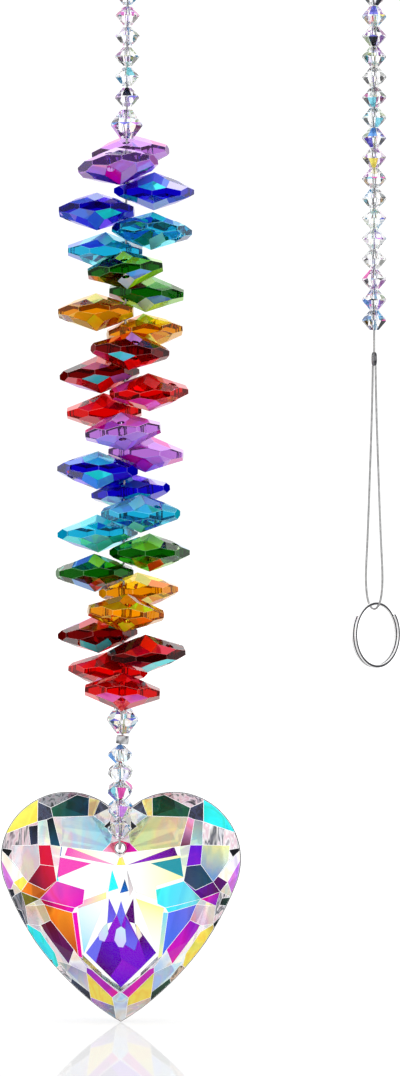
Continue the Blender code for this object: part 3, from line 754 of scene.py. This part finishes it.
def large_beads(looks):
    for word in ("upper", "lower"):
        low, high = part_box(f"clear_bicone_{word}")
        middle = (low + high) / 2
        bm = bmesh.new()
        bicone(bm, LARGE_HALF, LARGE_RADIUS, LARGE_NECK, Matrix.Translation(middle) @ Matrix.Rotation(0.25, 4, "Z"),
               5 + ord(word[0]))
        mesh = to_mesh(bm, f"bicone_{word}")
        for look in looks:
            mesh.materials.append(look)
        shown(f"bicone_{word}", mesh, f"clear_bicone_{word}", slot="clear_crystal")


def pendant(looks, steel):
    for side, word, start, count in ((-1, "front", FRONT_START, FRONT_BEADS), (1, "back", BACK_START, BACK_BEADS)):
        top = FORK + Vector((0, side * FORK_SPLIT, 0))
        along = Vector((0, side * sin(LEG_TILT), -cos(LEG_TILT)))
        for index in range(count):
            place = Matrix.Translation(top + along * (start + index * SMALL_PITCH))
            place = place @ Matrix.Rotation(side * LEG_TILT, 4, "X")
            bead_run(f"bead_{word}_{index + 1}", [place], looks, f"clear_bead_{word}_{index + 1}",
                     half=(SMALL_PITCH - GAP) / 2, first=20 * (2 + side) + index)
    hole = HEART_CENTRE + Vector((0, 0, HEART_HOLE_HEIGHT))
    route = []
    for side in (-1, 1):
        top = FORK + Vector((0, side * FORK_SPLIT, 0))
        along = Vector((0, side * sin(LEG_TILT), -cos(LEG_TILT)))
        leg = [
            top + Vector((0, 0, CRIMP_HALF)), top, top + along * 2 * MM, top + along * LEG_END,
            Vector((FORK.x, side * (HEART_TABLE + 0.6 * MM), hole.z + 0.5 * MM)),
            Vector((FORK.x, side * (HEART_TABLE - 0.4 * MM), hole.z)),
        ]
        route = leg if side < 0 else route + leg[::-1]
    curve = wire("pendant_wire", smooth_route(route, 4), WIRE_RADIUS)
    curve.materials.append(steel)
    shown("wire_through_heart", curve, "pendant_wire", slot="beading_wire")


def wires(steel):
    top = -ARCH_RADIUS - GAP
    bottom = CRIMP_TOP - CRIMP_HALF
    curve = wire("wire_left", [(left_x(top), 0, top), (left_x(bottom), 0, bottom)], WIRE_RADIUS)
    curve.materials.append(steel)
    shown("wire_left", curve, "strand_wire", slot="beading_wire")
    route = [Vector((-ARCH_RADIUS * cos(pi * k / 60), 0, ARCH_RADIUS * (sin(pi * k / 60) - 1))) for k in range(61)]
    route.append(Vector((RIGHT_X, 0, DARK_CRIMP_Z + DARK_CRIMP_HALF)))
    curve = wire("wire_over_bar", route, WIRE_RADIUS)
    curve.materials.append(steel)
    shown("wire_over_bar", curve, "end_wire", slot="beading_wire")


def crimps(silver, dark):
    low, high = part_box("crimp_pendant")
    middle = (low + high) / 2
    bm = bmesh.new()
    bmesh.ops.create_cone(bm, cap_ends=False, segments=32, radius1=1.2 * MM, radius2=1.2 * MM, depth=1.6 * MM)
    mesh = to_mesh(bm, "crimp")
    mesh.transform(Matrix.Translation(middle) @ Matrix.Rotation(0.12, 4, "Y"))
    mesh.materials.append(silver)
    mesh.shade_smooth()
    piece = shown("crimp", mesh, "crimp_pendant", slot="silver")
    wall = piece.modifiers.new("wall", "SOLIDIFY")
    wall.thickness = 0.3 * MM
    edge = piece.modifiers.new("edge", "BEVEL")
    edge.width = 0.08 * MM
    edge.segments = 2
    points = []
    radii = []
    for step in range(17):
        turn = pi * step / 16
        points.append(Vector((RIGHT_X, 0, DARK_CRIMP_Z + DARK_CRIMP_HALF * cos(turn))))
        radii.append(0.45 + 0.55 * sin(turn) ** 0.8)
    curve = polyline("crimp_oval", points, radii, 0.56 * MM, 6)
    curve.materials.append(dark)
    shown("crimp_oval", curve, "crimp_loop", slot="dark_metal")


def ring(steel):
    """The split ring as a tube. A value on its corners runs from 0 in the slit between the turns, which is painted
    dark as shade, to 1 on their open sides.
    """
    turned = Matrix.Translation(RING_CENTRE) @ Matrix.Rotation(RING_ANGLE, 4, "Z")
    axis = Vector((0, 1, 0))
    bm = bmesh.new()
    shade_band = bm.verts.layers.float.new("shade_band")
    rows = []
    for step in range(RING_STEPS + 1):
        turn = RING_START + RING_TURNS * 2 * pi * step / RING_STEPS
        outward = Vector((cos(turn), 0, sin(turn)))
        middle = outward * RING_RADIUS + axis * RING_PITCH * (0.5 - step / RING_STEPS) * RING_TURNS
        row = []
        for side in range(RING_SIDES):
            around = 2 * pi * side / RING_SIDES
            row.append(bm.verts.new(turned @ (middle + RING_WIRE * (cos(around) * outward + sin(around) * axis))))
            row[-1][shade_band] = abs(cos(around))
        rows.append(row)
    for row, after in zip(rows, rows[1:]):
        for side in range(RING_SIDES):
            following = (side + 1) % RING_SIDES
            bm.faces.new((row[side], row[following], after[following], after[side]))
    bm.faces.new(rows[0])
    bm.faces.new(rows[-1][::-1])
    mesh = to_mesh(bm, "ring")
    mesh.shade_smooth()
    mesh.materials.append(steel)
    shown("ring", mesh, "split_ring", slot="ring_steel")


def loop(steel):
    across = Vector((-sin(RING_ANGLE), cos(RING_ANGLE), 0))
    route = [Vector((RIGHT_X, 0, height * MM)) + across * (side * MM) for side, height in LOOP_ROUTE]
    route = smooth_route(route, 3)
    curve = wire("loop", route, WIRE_RADIUS)
    curve.materials.append(steel)
    piece = shown("loop", curve, "loop_wire", slot="beading_wire")


def heart_outline():
    """The right half of the outline, from the cleft round the lobe and down to the tip."""
    centre = Vector(LOBE_CENTRE)
    start = acos(-LOBE_CENTRE[0] / LOBE_RADIUS)
    points = []
    for step in range(LOBE_STEPS + 1):
        angle = start + (LOBE_END - start) * step / LOBE_STEPS
        points.append(centre + LOBE_RADIUS * Vector((cos(angle), sin(angle))))
    outward = Vector((cos(LOBE_END), sin(LOBE_END)))
    chord = points[-1] - Vector((0, HEART_TIP))
    side_radius = chord.length_squared / (2 * outward.dot(chord))
    middle = points[-1] - side_radius * outward
    reach = (points[-1] - middle).angle_signed(Vector((0, HEART_TIP)) - middle)
    for step in range(1, SIDE_STEPS + 1):
        angle = LOBE_END - reach * step / SIDE_STEPS
        points.append(middle + side_radius * Vector((cos(angle), sin(angle))))
    points[0].x = 0
    points[-1].x = 0
    return points


def heart_blank(outline):
    """The ground heart without its pattern: a closed solid with flat facets."""
    bm = bmesh.new()
    block = 1.1 * HEART_TABLE
    base = [bm.verts.new((p.x, p.y, -block)) for p in outline]
    wall = bmesh.ops.extrude_face_region(bm, geom=[bm.faces.new(base)])
    bmesh.ops.translate(bm, verts=[v for v in wall["geom"] if isinstance(v, bmesh.types.BMVert)],
                        vec=(0, 0, 2 * block))
    bmesh.ops.recalc_face_normals(bm, faces=bm.faces[:])
    grind_both(bm, 0, 0, 0, HEART_TABLE)
    for azimuth, tilt, distance in MAIN_FACETS:
        grind_both(bm, radians(azimuth), radians(tilt), distance * MM, HEART_TABLE)
    for azimuth, tilt in RIM_FACETS:
        way = Vector((cos(radians(azimuth)), sin(radians(azimuth))))
        grind_both(bm, radians(azimuth), radians(tilt), max(way.dot(p) for p in outline), HEART_GIRDLE)
    return bm


def heart_depth(x, y, outline):
    """Half the heart's thickness at a point of its face, all in millimetres."""
    x = abs(x)
    depth = HEART_TABLE / MM
    for azimuth, tilt, distance in MAIN_FACETS:
        reach = x * cos(radians(azimuth)) + y * sin(radians(azimuth)) - distance
        depth = min(depth, HEART_TABLE / MM - tan(radians(tilt)) * reach)
    for azimuth, tilt in RIM_FACETS:
        way = Vector((cos(radians(azimuth)), sin(radians(azimuth))))
        reach = x * way.x + y * way.y - max(way.dot(p) for p in outline) / MM
        depth = min(depth, HEART_GIRDLE / MM - tan(radians(tilt)) * reach)
    return depth


def counter_clockwise(points):
    area = sum(a.x * b.y - b.x * a.y for a, b in zip(points, points[1:] + points[:1]))
    return points if area > 0 else points[::-1]


def mirrored(entries):
    """Both halves of a pattern that is given for the right-hand side."""
    for corners, left, right, look in entries:
        yield corners, right, look
        yield [(-x, y) for x, y in corners], left, look


def hole_outline():
    angles = [2 * pi * step / HOLE_SIDES for step in range(HOLE_SIDES)]
    middle = Vector((0, HEART_HOLE_HEIGHT))
    return [(middle + HEART_HOLE_RADIUS * Vector((cos(angle), sin(angle)))) / MM for angle in angles]


def spread(corners, shades, look):
    """A function that gives the tone at a place: it runs from the first tone to the last across the polygon."""
    first, last = tone(shades.split()[0]), tone(shades.split()[-1])
    start = corners[0]
    run = max((corner - start for corner in corners), key=lambda way: way.length)

    def colour(place):
        share = max(0.0, min(1.0, (place - start).dot(run) / run.length_squared))
        mixed = first.lerp(last, share)
        # A see-through facet takes the root of its colour, so it is given the square
        return Vector([level ** 2 for level in mixed]) if look == BACKING else mixed
    return colour


def pattern_face(blank, outline, side, regions):
    """One side of the heart as a mesh: its ground facets, divided further by the regions of the pattern."""
    half = [p / MM for p in outline]
    whole = counter_clockwise([Vector(p) for p in half] + [Vector((-p.x, p.y)) for p in half[-2:0:-1]])
    table = max(range(len(blank.faces)), key=lambda n: side * blank.faces[n].normal.z)
    choices = FRONT_TONES if side > 0 else BACK_TONES
    areas = []
    for index, face in enumerate(blank.faces):
        if side * face.normal.z < 0.05:
            continue
        for flip in (1, -1):
            corners = counter_clockwise([Vector((flip * v.co.x, v.co.y)) / MM for v in face.verts])
            number = index if abs(face.normal.x) < 0.01 or flip > 0 else index + 100
            look = LIGHT if side > 0 else BACKING
            shades = choices[number % len(choices)]
            if index == table:
                look = CLEAR if side > 0 else BACKING
                shades = "white"
            areas.append((corners, number, look, spread(corners, shades, look)))
    for number, (corners, shades, look) in enumerate(regions):
        corners = counter_clockwise([Vector(p) for p in corners])
        areas.append((corners, number + 1000, look, spread(corners, shades, look)))
    loops = []
    points = []
    for loop in [whole, hole_outline()] + [area[0] for area in areas]:
        loops.append(list(range(len(points), len(points) + len(loop))))
        points.extend(loop)
    flat_points, _, faces, _, _, sources = delaunay_2d_cdt(points, [], loops, 1, SNAP)
    bm = bmesh.new()
    glow = bm.loops.layers.float_color.new("glow")
    group = bm.faces.layers.int.new("group")
    verts = []
    for p in flat_points:
        depth = heart_depth(p.x, p.y, outline)
        verts.append(bm.verts.new((p.x * MM, p.y * MM, side * max(depth, 0.2) * MM)))
    for corners, source in zip(faces, sources):
        if 0 not in source or 1 in source or max(source) < 2:
            continue
        _, number, look, colour = areas[max(source) - 2]
        face = bm.faces.new([verts[n] for n in (corners if side > 0 else corners[::-1])])
        face[group] = number
        face.material_index = look
        for loop in face.loops:
            loop[glow] = (*colour(loop.vert.co.xy / MM), 1.0)
    bmesh.ops.delete(bm, geom=[v for v in bm.verts if not v.link_faces], context="VERTS")
    return bm


def cut_arrises(bm, look, shade):
    """Give the sheet a thin ink-dark rim, painted shade along its outline and bore, and every region a narrow ground
    margin a little below the facets. The given factor scales the margins' tone, which on the back paints dark lines
    as shade.
    """
    glow = bm.loops.layers.float_color["glow"]
    layer = bm.faces.layers.int["group"]
    bm.normal_update()
    rim = bmesh.ops.inset_region(bm, faces=bm.faces[:], thickness=HEART_RIM, use_boundary=True)
    # Painted shade: the rim is ink-dark
    for face in rim["faces"]:
        face.material_index = STRONG
        face[layer] = -1
        for loop in face.loops:
            loop[glow] = (*tone("ink"), 1.0)
    groups = {}
    for face in bm.faces:
        groups.setdefault(face[layer], []).append(face)
    groups.pop(-1)
    bm.normal_update()
    sunk = []
    for vert in bm.verts:
        meets = {face[layer] for face in vert.link_faces}
        if len(meets) > 1 and not vert.is_boundary:
            sunk.append((vert, vert.normal.copy()))
    for faces in groups.values():
        margin = bmesh.ops.inset_region(bm, faces=faces, thickness=HEART_ARRIS, use_boundary=True)
        for face in margin["faces"]:
            face.material_index = look
            for loop in face.loops:
                loop[glow] = shade * loop[glow]
    for vert, normal in sunk:
        vert.co -= normal * ARRIS_DEPTH


def heart(looks):
    outline = heart_outline()
    blank = heart_blank(outline)
    blank.faces.ensure_lookup_table()
    blank.normal_update()
    front = pattern_face(blank, outline, 1, list(mirrored(FRONT_PATTERN)) + list(FRONT_EXTRA))
    back = pattern_face(blank, outline, -1, list(mirrored(BACK_PATTERN)) + list(BACK_EXTRA))
    whole = bmesh.new()
    # The front margins are painted white as glints, the back margins darker as painted shade
    for sheet, look, shade in ((front, PAINTED_GLINT, 1.0), (back, BACKING, MARGIN_SHADE)):
        cut_arrises(sheet, look, shade)
        mesh = bpy.data.meshes.new("sheet")
        sheet.to_mesh(mesh)
        sheet.free()
        whole.from_mesh(mesh)
    hole_at = Vector((0, HEART_HOLE_HEIGHT))
    rims = [e for e in whole.edges if e.is_boundary]
    bore = [e for e in rims if (e.verts[0].co.xy - hole_at).length < 1.5 * HEART_HOLE_RADIUS]
    for edges in (bore, [e for e in rims if e not in bore]):
        for face in bmesh.ops.bridge_loops(whole, edges=edges)["faces"]:
            face.material_index = CLEAR
    mesh = to_mesh(whole, "heart")
    for look in looks:
        mesh.materials.append(look)
    mesh.transform(Matrix.Translation(HEART_CENTRE) @ Matrix.Rotation(pi / 2, 4, "X"))
    shown("heart", mesh, "crystal_heart", slot="heart_crystal")


def between(tree, value, low, high, soft):
    """1 where the value lies between low and high, with soft ends."""
    rise = tree.nodes.new("ShaderNodeMapRange")
    rise.interpolation_type = "SMOOTHSTEP"
    rise.inputs["From Min"].default_value = low - soft
    rise.inputs["From Max"].default_value = low + soft
    fall = tree.nodes.new("ShaderNodeMapRange")
    fall.interpolation_type = "SMOOTHSTEP"
    fall.inputs["From Min"].default_value = high + soft
    fall.inputs["From Max"].default_value = high - soft
    tree.links.new(value, rise.inputs["Value"])
    tree.links.new(value, fall.inputs["Value"])
    return maths(tree, "MULTIPLY", rise.outputs["Result"], fall.outputs["Result"])


def maths(tree, operation, first, second=None):
    node = tree.nodes.new("ShaderNodeMath")
    node.operation = operation
    for value, socket in zip((first, second), node.inputs):
        if isinstance(value, (int, float)):
            socket.default_value = value
        elif value is not None:
            tree.links.new(value, socket)
    return node.outputs["Value"]


def world_light():
    """White to the camera, and even for whatever is matt. The glass sees it dark around the camera, with flags."""
    world = bpy.data.worlds.new("studio")
    bpy.context.scene.world = world
    world.use_nodes = True
    tree = world.node_tree
    tree.nodes.clear()
    out = tree.nodes.new("ShaderNodeOutputWorld")
    path = tree.nodes.new("ShaderNodeLightPath")
    plain = tree.nodes.new("ShaderNodeBackground")
    plain.inputs["Strength"].default_value = 1.1
    plain.inputs["Color"].default_value = (1.0, 1.0, 1.0, 1.0)
    soft = tree.nodes.new("ShaderNodeBackground")
    soft.inputs["Strength"].default_value = SOFT_LIGHT
    soft.inputs["Color"].default_value = (1.0, 1.0, 1.0, 1.0)
    studio = tree.nodes.new("ShaderNodeBackground")
    studio.inputs["Strength"].default_value = STUDIO_LIGHT
    where = tree.nodes.new("ShaderNodeTexCoord")
    split = tree.nodes.new("ShaderNodeSeparateXYZ")
    tree.links.new(where.outputs["Generated"], split.inputs["Vector"])
    side = maths(tree, "ABSOLUTE", split.outputs["X"])
    room = between(tree, split.outputs["Y"], -2.0, -0.62, 0.006)
    flags = maths(tree, "MULTIPLY", between(tree, side, 0.60, 0.74, 0.01),
                  between(tree, split.outputs["Z"], -0.4, 0.4, 0.02))
    flags = maths(tree, "MULTIPLY", flags, maths(tree, "GREATER_THAN", split.outputs["Y"], 0.0))
    # Only light that has passed through glass meets the dark parts
    inside = maths(tree, "GREATER_THAN", path.outputs["Transmission Depth"], 0.5)
    shade = maths(tree, "MULTIPLY", maths(tree, "MAXIMUM", room, flags), inside)
    tree.links.new(ramp(tree, shade, ((0.0, (1.0, 1.0, 1.0)), (1.0, (0.012, 0.012, 0.015)))), studio.inputs["Color"])
    matt = tree.nodes.new("ShaderNodeMixShader")
    tree.links.new(maths(tree, "GREATER_THAN", path.outputs["Diffuse Depth"], 0.5), matt.inputs["Fac"])
    tree.links.new(studio.outputs["Background"], matt.inputs[1])
    tree.links.new(soft.outputs["Background"], matt.inputs[2])
    mix = tree.nodes.new("ShaderNodeMixShader")
    tree.links.new(path.outputs["Is Camera Ray"], mix.inputs["Fac"])
    tree.links.new(matt.outputs["Shader"], mix.inputs[1])
    tree.links.new(plain.outputs["Background"], mix.inputs[2])
    tree.links.new(mix.outputs["Shader"], out.inputs["Surface"])


def floor_plane():
    """A white floor with a faint, slightly blurred reflection."""
    low = cad_box[0].z - FLOOR_DROP
    bm = bmesh.new()
    bmesh.ops.create_grid(bm, x_segments=1, y_segments=1, size=6.0)
    mesh = to_mesh(bm, "floor")
    item = bpy.data.objects.new("floor", mesh)
    bpy.context.scene.collection.objects.link(item)
    item.location.z = low
    made, tree, shader = new_material("floor")
    shader.inputs["Base Color"].default_value = (0.3, 0.3, 0.3, 1.0)
    shader.inputs["Emission Color"].default_value = (1.0, 1.0, 1.0, 1.0)
    shader.inputs["Emission Strength"].default_value = FLOOR_GLOW
    shader.inputs["Roughness"].default_value = 0.02
    shader.inputs["IOR"].default_value = 1.03
    mesh.materials.append(made)


def camera():
    data = bpy.data.cameras.new("camera")
    item = bpy.data.objects.new("camera", data)
    bpy.context.scene.collection.objects.link(item)
    x = (PHOTO_SIZE[0] / 2 - ORIGIN_PIXEL[0]) * PIXEL
    z = -(PHOTO_SIZE[1] / 2 - ORIGIN_PIXEL[1]) * PIXEL
    item.location = (x, -CAMERA_DISTANCE, z)
    item.rotation_euler = (pi / 2, 0, 0)
    data.sensor_width = SENSOR
    data.lens = SENSOR * CAMERA_DISTANCE / (PHOTO_SIZE[1] * PIXEL)
    bpy.context.scene.camera = item


def build():
    scene = bpy.context.scene
    scene.view_settings.view_transform = "Standard"
    scene.cycles.max_bounces = 24
    scene.cycles.transmission_bounces = 24
    scene.cycles.glossy_bounces = 8
    camera()
    steel = drawn_metal("beading_wire", (0.3, 0.3, 0.3), (0.48, 0.48, 0.48), 0.4)
    silver = drawn_metal("silver", (0.1, 0.1, 0.11), (0.7, 0.7, 0.71), 0.15, 800.0)
    # The dark crimp's light and dark patches are partly wear and partly painted reflection
    dark = drawn_metal("dark_metal", (0.02, 0.02, 0.025), (0.3, 0.3, 0.31), 0.15, 700.0)
    clear = clear_glass("clear_crystal")
    # Matt white that paints the glint of the front margins
    edge = painted_glint_edge("painted_glint_arris", 0.0, 0.25)
    strong = rainbow_coat("strong_coat", 0.3, 0.1, 0.7, DEEP_STREAKS, (170.0, 170.0, 60.0), 0.3)
    light = rainbow_coat("light_coat", 0.3, 0.4, 0.8)
    reflection_coat = rainbow_coat("painted_reflection_coat", 0.3, 0.2, 1.0, REFLECTION_STREAKS, (480.0, 480.0, 170.0))
    backing = rainbow_coat("back_coat", 0.0, 1.0, 0.12, gloss=0.1)
    bead_looks = (clear, rainbow_coat("bead_coat", 0.4, 0.5, 0.2))
    loop(steel)
    wires(steel)
    # The ring is painted dark as shade in the slit between its turns
    ring(painted_shade_metal("ring_steel"))
    crimps(silver, dark)
    small_beads(bead_looks)
    large_beads(bead_looks)
    pendant(bead_looks, steel)
    octagons(rainbow_coat("crystal_coat", 0.65, 0.0, 0.2), rainbow_coat("polished_arris", 1.0, 0.0, 0.1),
             rainbow_coat("bright_coat", 0.3, 0.0, 0.2))
    heart((clear_glass("heart_crystal", 0.2), strong, light, edge, reflection_coat, backing))
    world_light()
    floor_plane()


build()
